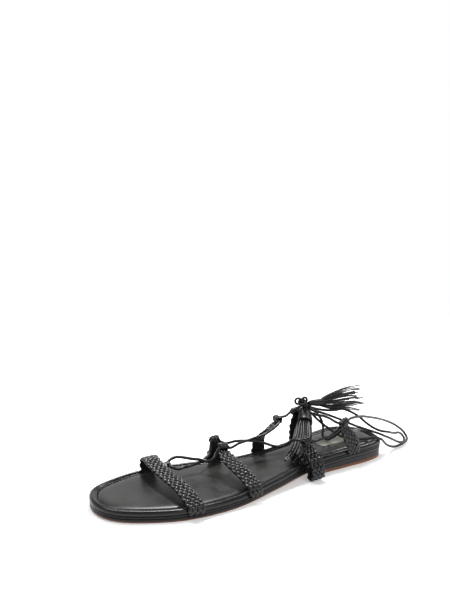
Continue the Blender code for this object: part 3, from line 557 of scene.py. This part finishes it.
# Seat, length, then rows: inward, up and back as shares of the length, and the width's turn and tilt
STRAPS = {
    "instep_strap_lateral": ("instep_lateral", 0.048, (
        (0.003, 0.055, 0.0, 0, 0), (0.040, 0.12, 0.0, 0, 0), (0.172, 0.183, 0.0, 0, 0),
        (0.380, 0.267, -0.03, 0, 0), (0.630, 0.34, -0.05, 0, 0), (0.797, 0.381, -0.04, 0, 0),
        (0.900, 0.402, -0.01, 0, 0))),
    "instep_strap_medial": ("instep_medial", 0.020, (
        (0.007, 0.13, 0.0, 0, 0), (0.007, 0.30, 0.0, 0, 0), (0.112, 0.60, -0.02, 0, 0),
        (0.213, 0.90, -0.04, 0, 0))),
    "arch_strap_lateral": ("arch_lateral", 0.040, (
        (-0.024, -0.03, 0.0, 0, 0), (-0.032, -0.12, 0.0, 0, 0), (-0.079, -0.180, 0.0, 0, 0),
        (-0.154, -0.160, 0.0, 0, 0), (-0.189, -0.05, 0.0, 0, 0), (-0.149, 0.09, 0.0, 0, 0),
        (-0.024, 0.24, -0.01, 0, 0), (0.076, 0.35, -0.03, 0, 0), (0.156, 0.45, -0.06, 0, 0))),
    "arch_strap_medial": ("arch_medial", 0.040, (
        (0.006, 0.06, 0.0, 0, 0), (0.006, 0.16, 0.0, 6, 0), (0.026, 0.30, 0.02, 14, 0),
        (0.066, 0.44, 0.10, 26, 0), (0.106, 0.54, 0.24, 40, 10), (0.136, 0.63, 0.40, 45, 20))),
    "heel_strap_lateral": ("heel_lateral", 0.032, (
        (0.005, 0.08, 0.0, 0, 0), (0.005, 0.20, 0.0, 0, 0), (0.005, 0.42, -0.12, 0, -14),
        (0.025, 0.62, -0.25, 0, -18), (0.065, 0.82, -0.34, 0, -18))),
    "heel_strap_medial": ("heel_medial", 0.030, (
        (0.003, 0.08, 0.0, 0, 0), (0.003, 0.22, 0.0, 0, 0), (0.028, 0.44, 0.0, 0, 0),
        (0.068, 0.66, 0.0, 0, 0), (0.108, 0.84, 0.0, 0, 0))),
}


def strap_line(table, fold):
    """Centres, width directions, outer normals and widths along a strap, and where its eye starts."""
    rows = smooth_rows(table, 0.00025)
    points = [Vector(row[:3]) for row in rows]
    across, normals, widths = [], [], [float(row[6]) for row in rows]
    for k, row in enumerate(rows):
        direction = (points[min(k + 2, len(rows) - 1)] - points[max(k - 2, 0)]).normalized()
        side = Vector(row[3:6])
        side = (side - direction * side.dot(direction)).normalized()
        across.append(side)
        normals.append(side.cross(direction).normalized())
    straight = len(points)
    if fold:
        tip, direction, normal = points[-1], (points[-1] - points[-5]).normalized(), normals[-1]
        outer = EYE_INNER + EYE_WALL
        centre = tip + normal * (outer - STRAP_THICKNESS * 0.45) + direction * EYE_WALL
        radius = (tip - centre).length
        start = math.atan2((tip - centre).dot(direction), -(tip - centre).dot(normal))
        steps, fold_angle = 56, math.radians(300)
        for k in range(1, steps + 1):
            turn = start + fold_angle * k / steps
            spoke = direction * math.sin(turn) - normal * math.cos(turn)
            points.append(centre + spoke * radius)
            across.append(across[straight - 1])
            normals.append(-spoke)
            widths.append(widths[straight - 1])
    return points, across, normals, widths, straight


def braid(name, line):
    """Flat strands that cross over and under one another along the strap, turning back at its borders."""
    points, across, normals, widths, _ = line
    run = np.concatenate([[0], np.cumsum([(b - a).length for a, b in zip(points, points[1:])])])
    data = np.array([(*p, *a, *n, w) for p, a, n, w in zip(points, across, normals, widths)])
    places = np.linspace(0, run[-1], int(run[-1] / (CELL_LENGTH / STEPS_A_CELL)) + 1)
    rows = np.column_stack([np.interp(places, run, column) for column in data.T])
    width = rows[:, 9] * BRAID_SPREAD
    half = width / 2 * (1 - 1 / CELLS_ACROSS)
    strands = 2 * (CELLS_ACROSS - 1)
    # Below 1 it rounds the turn at the border
    sharpness = 0.988
    build = Build()
    for strand in range(strands):
        phase = 2 * math.pi * (places - strand * CELL_LENGTH) / (strands * CELL_LENGTH)
        swing = np.arcsin(sharpness * np.sin(phase)) / math.asin(sharpness)
        crossing = np.cos(phase) / np.sqrt(np.cos(phase) ** 2 + 0.02)
        height = STRAND_SWING * np.cos(2 * math.pi * places / CELL_LENGTH) * crossing + STRAND_LIFT
        centres = []
        for k, row in enumerate(rows):
            centre = Vector(row[:3]) + Vector(row[3:6]) * float(swing[k] * half[k])
            centres.append(centre + Vector(row[6:9]) * float(height[k]))
        sides, ups, profiles = [], [], []
        for k, row in enumerate(rows):
            direction = (centres[min(k + 1, len(centres) - 1)] - centres[max(k - 1, 0)]).normalized()
            up = Vector(row[6:9])
            up = (up - direction * up.dot(direction)).normalized()
            sides.append(direction.cross(up).normalized())
            ups.append(up)
            cell = width[k] / CELLS_ACROSS
            flat = STRAND_FILL * cell * CELL_LENGTH / math.hypot(cell, CELL_LENGTH)
            profiles.append([(x * flat / 2, y * STRAND_THICKNESS / 2) for x, y in STRAND_PROFILE])
        build.sweep(centres, sides, ups, lambda k: profiles[k])
    return build.make(name + "_braid", "braid", 50)


def lining(name, line):
    """Thin leather behind the braid, up to the fold of the eye."""
    points, across, normals, widths, straight = line
    low, high, border = -0.00105, -0.00062, 0.0006
    outline = ((-1, low), (-1, high), (0, high), (1, high), (1, low), (0, low))
    chosen = range(0, straight, 3)
    build = Build()
    build.sweep(
        [points[k] for k in chosen], [across[k] for k in chosen], [normals[k] for k in chosen],
        lambda j: [(a * (widths[chosen[j]] / 2 - border), b) for a, b in outline])
    return build.make(name + "_lining", "lining", 40)


def make_straps():
    tables = {"toe_strap": (toe_strap_rows(), False)}
    for name, (seat, length, rows) in STRAPS.items():
        tables[name] = (half_strap_rows(seat, length, rows), True)
    for name, (table, fold) in tables.items():
        line = strap_line(table, fold)
        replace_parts(braid(name, line), name)
        lining(name, line)


def make_toe_eye():
    """The small strip of leather that loops out from the toe strap's rear border round the lace."""
    centre = Vector((-0.1503, 0.0184, 0.0179))
    radius, half_width, half_thickness = 0.0016, 0.0021, 0.0005
    bend = [math.radians(112 - 224 * k / 24) for k in range(25)]
    outline = [(-0.0050, 0.0009), (-0.0030, 0.0013)]
    outline += [(radius * math.cos(turn), radius * math.sin(turn)) for turn in bend]
    outline += [(-0.0030, -0.0013), (-0.0050, -0.0009)]
    points = [centre + Vector((x, 0, z)) for x, z in outline]
    ups = []
    for k in range(len(points)):
        direction = (points[min(k + 1, len(points) - 1)] - points[max(k - 1, 0)]).normalized()
        ups.append(Vector((-direction.z, 0, direction.x)))
    profile = [(x * half_width, y * half_thickness) for x, y in STRAND_PROFILE]
    build = Build()
    build.sweep(points, [Vector((0, 1, 0))] * len(points), ups, profile)
    build.make("toe_strap_eye", "braid", 50)


# Sole

# Shares of the rim's width inward and of its height upward, with the groove for the stitches near 0.8
RIM_PROFILE = (
    (0.05, 0.0), (0.0, 0.10), (-0.01, 0.28), (0.005, 0.46), (0.04, 0.64), (0.10, 0.80), (0.18, 0.91),
    (0.27, 0.98), (0.37, 1.0), (0.47, 0.98), (0.56, 0.91), (0.63, 0.80), (0.68, 0.68), (0.72, 0.61),
    (0.78, 0.60), (0.85, 0.64), (0.92, 0.66), (0.97, 0.62), (1.0, 0.52), (1.0, 0.0),
)
STITCH_INSET, STITCH_HEIGHT, STITCH_PITCH = RIM_WIDTH * 0.84, RIM_HEIGHT * 0.62, 0.0026
# Thread along a stitch: drop below the groove's height, radius
STITCH = (
    (0.0003, 0.00014), (0.00005, 0.00021), (-0.00004, 0.00023), (-0.00004, 0.00023), (0.00005, 0.00021),
    (0.0003, 0.00014),
)
# The insole's border: inset from the rim's inner side, share of its height
INSOLE_RINGS = (
    (0.0, 0.0), (0.0, 0.50), (0.0003, 0.66), (0.0009, 0.80), (0.0019, 0.90), (0.0034, 0.96),
    (0.0060, 1.0),
)


def ring_of(count, inset, rise, shift=0.0):
    """Points inside the outline and above the midsole, moved along by shift, a share of a step."""
    ring = []
    for k in range(count):
        point, outward, _ = edge_frame(360 * (k + shift) / count)
        point = point - outward * inset
        ring.append(Vector((point.x, point.y, midsole_top(point.x) + GAP + rise)))
    return ring


def make_rim():
    """Rolled bead with a groove along its inner side."""
    count = 360
    sides = [-edge_frame(360 * k / count)[1] for k in range(count)]
    profile = [(a * RIM_WIDTH, b * RIM_HEIGHT) for a, b in RIM_PROFILE]
    build = Build()
    build.sweep(ring_of(count, 0.0, 0.0), sides, [UP] * count, profile, closed=True)
    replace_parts(build.make("rim_bead", "rim", 50), "rim")


def make_stitches():
    """Thread along the rim's groove, one short arch a stitch."""
    path = ring_of(1440, STITCH_INSET, STITCH_HEIGHT)
    path.append(path[0])
    run = np.concatenate([[0], np.cumsum([(b - a).length for a, b in zip(path, path[1:])])])
    loop = np.array([tuple(p) for p in path])
    stitches = int(run[-1] / STITCH_PITCH)
    build = Build()
    for s in range(stitches):
        places = run[-1] * s / stitches + np.linspace(0.0002, 0.0022, len(STITCH))
        centres = [
            Vector([float(np.interp(place, run, column)) for column in loop.T]) for place in places]
        for centre, (drop, _) in zip(centres, STITCH):
            centre.z -= drop
        build.tube(centres, [radius for _, radius in STITCH], 6)
    build.make("rim_stitches", "thread", 60)


def make_insole():
    """Padded leather footbed with its border rolled down to the rim."""
    count, across = 288, 8
    corners, faces = [], []
    for inset, share in INSOLE_RINGS:
        corners += ring_of(count, RIM_WIDTH + GAP + inset, INSOLE_HEIGHT * share, 0.5)
    for low in range(0, (len(INSOLE_RINGS) - 1) * count, count):
        for k in range(count):
            after = (k + 1) % count
            faces.append((low + k, low + after, low + count + after, low + count + k))
    # The middle is filled by rows across, paired medial to lateral
    first = (len(INSOLE_RINGS) - 1) * count
    rows = []
    for k in range(count // 2):
        a, b = corners[first + k], corners[first + count - 1 - k]
        row = [first + k]
        for j in range(1, across):
            point = a.lerp(b, j / across)
            point.z = midsole_top(point.x) + GAP + INSOLE_HEIGHT
            row.append(len(corners))
            corners.append(point)
        row.append(first + count - 1 - k)
        rows.append(row)
    for a, b in zip(rows, rows[1:]):
        for j in range(across):
            faces.append((a[j], a[j + 1], b[j + 1], b[j]))
    for row in (rows[0], rows[-1]):
        faces.append(tuple(row))
    faces.append(tuple(range(count)))
    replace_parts(piece("insole_painted_sheen_leather", corners, faces, "insole", 40), "insole")


def make_patch():
    """The plain patch on the heel of the footbed, with rounded corners. Its pale grey-gold colour is
    painted sheen.
    """
    middle, length, width, radius = -0.0085, 0.027, 0.0145, 0.0022
    rise, shoulder, bevel = 0.0002, 0.00012, 0.0003
    count = 40
    points, halves = [], []
    for k in range(count + 1):
        x = length * (k / count - 0.5)
        short = max(radius - (length / 2 - abs(x)), 0.0)
        halves.append(width / 2 - radius + math.sqrt(radius ** 2 - short ** 2))
        points.append(Vector((middle + x, 0, midsole_top(middle + x) + GAP + INSOLE_HEIGHT)))
    build = Build()
    build.sweep(points, [Vector((0, 1, 0))] * (count + 1), [UP] * (count + 1), lambda k: [
        (-halves[k], -rise), (-halves[k], shoulder), (-halves[k] + bevel, rise),
        (halves[k] - bevel, rise), (halves[k], shoulder), (halves[k], -rise)])
    build.make("heel_patch", "patch", 40)


def dress_solids():
    """Materials for the solids that stay as they are."""
    for node in ("midsole", "outsole", "heel"):
        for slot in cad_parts[node].material_slots:
            slot.material = MATERIALS[node]


# Knot and tassels

def turns(steps, rounds=1):
    """Angles of one or more full circles, both ends included."""
    return [2 * math.pi * rounds * k / steps for k in range(steps + 1)]


def make_knot():
    """Three turns of lace, the gathered strands under them, a wrap at their foot, and two loops."""
    turn_radius, bundle_radius, wrap_radius, loop_radius = 0.0023, 0.0009, 0.0029, 0.0025
    lace, loop_lace, run = LACE_DIAMETER / 2, 0.0010, (BUNDLE_END - KNOT_CENTRE).length
    axis = (BUNDLE_END - KNOT_CENTRE).normalized()
    side = axis.orthogonal().normalized()
    up = axis.cross(side)
    build = Build()

    def spoke(turn):
        return side * math.cos(turn) + up * math.sin(turn)

    def add(points, radius, count):
        build.tube(points, [radius] * len(points), count)

    # Turns: shift along the axis and lean to it, in metres
    for shift, lean in ((-0.0021, 0.00077), (0.0, -0.00066), (0.0020, 0.00055)):
        add([
            KNOT_CENTRE + axis * (shift + lean * math.sin(turn)) + spoke(turn) * turn_radius
            for turn in turns(48)], lace, 10)
    for start in turns(5)[:-1]:
        points = []
        for t in np.linspace(0, 1, 17).tolist():
            twisted = Matrix.Rotation(0.5 * t, 3, axis) @ spoke(start)
            points.append(KNOT_CENTRE + axis * run * t + twisted * (bundle_radius + bundle_radius * t))
        add(points, lace, 8)
    wrap = turns(72, 2)
    add([
        KNOT_CENTRE + axis * (0.0088 + 0.0018 * turn / wrap[-1]) + spoke(turn) * wrap_radius
        for turn in wrap], lace * 0.8, 8)
    # Loops: offset from the knot in shares of 3.1 mm, heading in degrees
    for offset, heading in (((-1.15, 0.62, 0.50), -118), ((0.30, -0.25, 0.72), -95)):
        middle = KNOT_CENTRE + Vector(offset) * 0.0031
        level = Matrix.Rotation(math.radians(heading + 90), 3, "Z") @ Vector((1, 0, 0))
        add([
            middle + (level * math.cos(turn) + UP * math.sin(turn)) * loop_radius
            for turn in turns(40)], loop_lace, 10)
    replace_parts(build.make("lace_knot_turns", "lace", 60), "lace_knot")


# Routes in millimetres, spreads and sizes in metres. flare shapes how fast the strips spread, and ragged
# is the share of the length by which a strip may fall short.
TASSELS = {
    "tassel_hanging": {
        "route": (
            (-25.0, 15.4, 41.6), (-24.6, 14.6, 38.0), (-25.6, 11.6, 33.6), (-32.8, 4.2, 28.2),
            (-44.5, -8.0, 22.8), (-56.0, -17.0, 17.4), (-64.5, -21.0, 14.2)),
        "spread_side": 0.0094, "spread_up": 0.0030, "radius": 0.0064, "half_width": 0.00054,
        "flare": 0.45, "ragged": 0.16, "total": 72, "seed": 3,
    },
    "tassel_lying": {
        "route": (
            (-20.1, 13.5, 45.4), (-11.8, 13.7, 44.2), (-4.4, 13.5, 43.5), (6.6, 13.0, 43.1),
            (19.6, 12.0, 43.3), (31.1, 11.5, 42.6), (42.0, 11.0, 40.2)),
        "spread_side": 0.0066, "spread_up": 0.0130, "radius": 0.0032, "half_width": 0.00056,
        "flare": 0.52, "ragged": 0.30, "total": 34, "seed": 11,
    },
}
CAP_END = 0.22
# Share of the tassel's length, share of its radius: the cap, then its lap edge
CAP_PROFILE = (
    (0.0, 0.44), (0.02, 0.60), (0.05, 0.73), (0.10, 0.86), (0.15, 0.95), (0.20, 0.99), (CAP_END, 1.0),
    (CAP_END + 0.004, 0.95), (CAP_END + 0.004, 0.80), (CAP_END - 0.02, 0.74),
)
LAP_PROFILE = ((0.03, 0.62), (0.08, 0.75), (0.13, 0.87), (0.18, 0.96), (0.215, 1.0))
STRIP_HALF_THICKNESS, STRIP_WAVE, BUNDLE_SHARE = 0.00040, 0.0011, 0.78
STRIP_PROFILE = (
    (-1, -0.3), (-1, 0.3), (-0.5, 1), (0.5, 1), (1, 0.3), (1, -0.3), (0.5, -1), (-0.5, -1),
)
GOLDEN_ANGLE = 2.399963


def make_tassel(name, route, spread_side, spread_up, radius, half_width, flare, ragged, total, seed):
    """A smooth wrapped cap, from which many thin cut strips fan out."""
    luck = random.Random(seed)
    points = [Vector(p) for p in smooth_rows(np.array(route) / 1000, 0.0005)]
    run = len(points) - 1
    sides, ups = [], []
    for k in range(len(points)):
        direction = (points[min(k + 3, run)] - points[max(k - 3, 0)]).normalized()
        sides.append(direction.cross(UP).normalized())
        ups.append(sides[k].cross(direction))
    # The cap is a leather strip rolled round the bundle, with its lap edge on one side
    chosen = [min(int(share * run), run) for share, _ in CAP_PROFILE]
    ring = circle(28)
    build = Build()
    build.sweep(
        [points[k] for k in chosen], [sides[k] for k in chosen], [ups[k] for k in chosen],
        lambda j: [(a * radius * CAP_PROFILE[j][1], b * radius * CAP_PROFILE[j][1]) for a, b in ring])
    lap = []
    for share, reach in LAP_PROFILE:
        k = min(int(share * run), run)
        lap.append(points[k] + (sides[k] * 0.5 + ups[k] * 0.866) * radius * reach)
    build.tube(lap, [0.00018] * len(lap), 6)
    build.make(name + "_cap", "tassel", 50)
    # The strips
    start_share, steps = CAP_END - 0.03, 15
    profile = [(x * half_width, y * STRIP_HALF_THICKNESS) for x, y in STRIP_PROFILE]
    strips = Build()
    for k in range(total):
        turn, ring_share = GOLDEN_ANGLE * k, math.sqrt((k + 0.5) / total)
        reach = 1.0 - ragged * luck.random()
        bend_side, bend_up = luck.uniform(-1, 1), luck.uniform(-1, 1)
        start = radius * BUNDLE_SHARE * ring_share
        centres = []
        for j in range(steps + 1):
            share = start_share + (reach - start_share) * j / steps
            place = min(int(share * run), run)
            opening = (max(share - CAP_END, 0) / (1 - CAP_END)) ** flare
            out_side = start + (spread_side * ring_share - start) * opening
            out_up = start + (spread_up * ring_share - start) * opening
            wave = STRIP_WAVE * opening * math.sin(3.2 * opening + bend_side * 2)
            centres.append(
                points[place] + sides[place] * (math.cos(turn) * out_side + bend_side * wave)
                + ups[place] * (math.sin(turn) * out_up + bend_up * wave))
        first = (sides[0] * math.cos(turn + 1.57) + ups[0] * math.sin(turn + 1.57)).normalized()
        strips.sweep(centres, *carried_frames(centres, first), profile)
    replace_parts(strips.make(name + "_strands", "tassel", 40), name)


# Surroundings

def make_floor():
    """A round pale floor that glows a little, as the overexposed white in the photo does."""
    reach = 0.9
    mesh = bpy.data.meshes.new("floor")
    ring = [(reach * x, reach * y, 0) for x, y in circle(96)]
    mesh.from_pydata(ring, [], [tuple(range(len(ring)))])
    paint = plain("floor_white", (0.88, 0.88, 0.88), 0.7)
    shader = paint.node_tree.nodes["Principled BSDF"]
    shader.inputs["Emission Color"].default_value = (1, 1, 1, 1)
    shader.inputs["Emission Strength"].default_value = 0.34
    mesh.materials.append(paint)
    floor = bpy.data.objects.new("floor", mesh)
    bpy.context.collection.objects.link(floor)


def make_world():
    """White around the horizon and below, dim overhead."""
    world = bpy.data.worlds.new("studio")
    bpy.context.scene.world = world
    world.use_nodes = True
    tree = world.node_tree
    place = new_node(tree, "ShaderNodeTexCoord")
    split = new_node(tree, "ShaderNodeSeparateXYZ")
    ramp = new_node(tree, "ShaderNodeValToRGB")
    white, dim = ramp.color_ramp.elements
    white.position, white.color = 0.36, (1.0, 1.0, 1.0, 1)
    dim.position, dim.color = 0.50, (0.14, 0.14, 0.145, 1)
    tree.links.new(place.outputs["Generated"], split.inputs["Vector"])
    tree.links.new(split.outputs["Z"], ramp.inputs["Fac"])
    tree.links.new(ramp.outputs["Color"], tree.nodes["Background"].inputs["Color"])
    bpy.context.scene.view_settings.view_transform = "Standard"


def make_lights():
    """Four soft square lights that face the shoe."""
    target = Vector((-0.05, 0, 0))
    # Columns: name, place, size, power
    for name, place, size, power in (
        ("key_light", (0.09, 0.38, 0.76), 0.20, 8),
        ("soft_light", (-0.55, 0.35, 1.1), 0.5, 7),
        ("fill_light", (0.0, -0.9, 0.8), 0.4, 3),
        ("rear_light", (0.60, 0.16, 0.62), 0.22, 3),
    ):
        data = bpy.data.lights.new(name, "AREA")
        data.size = size
        data.energy = power
        lamp = bpy.data.objects.new(name, data)
        lamp.location = place
        lamp.rotation_euler = (target - Vector(place)).to_track_quat("-Z", "Y").to_euler()
        bpy.context.collection.objects.link(lamp)


make_camera()
make_laces()
make_straps()
make_toe_eye()
make_rim()
make_stitches()
make_insole()
make_patch()
dress_solids()
make_knot()
for name, values in TASSELS.items():
    make_tassel(name, **values)
make_floor()
make_world()
make_lights()
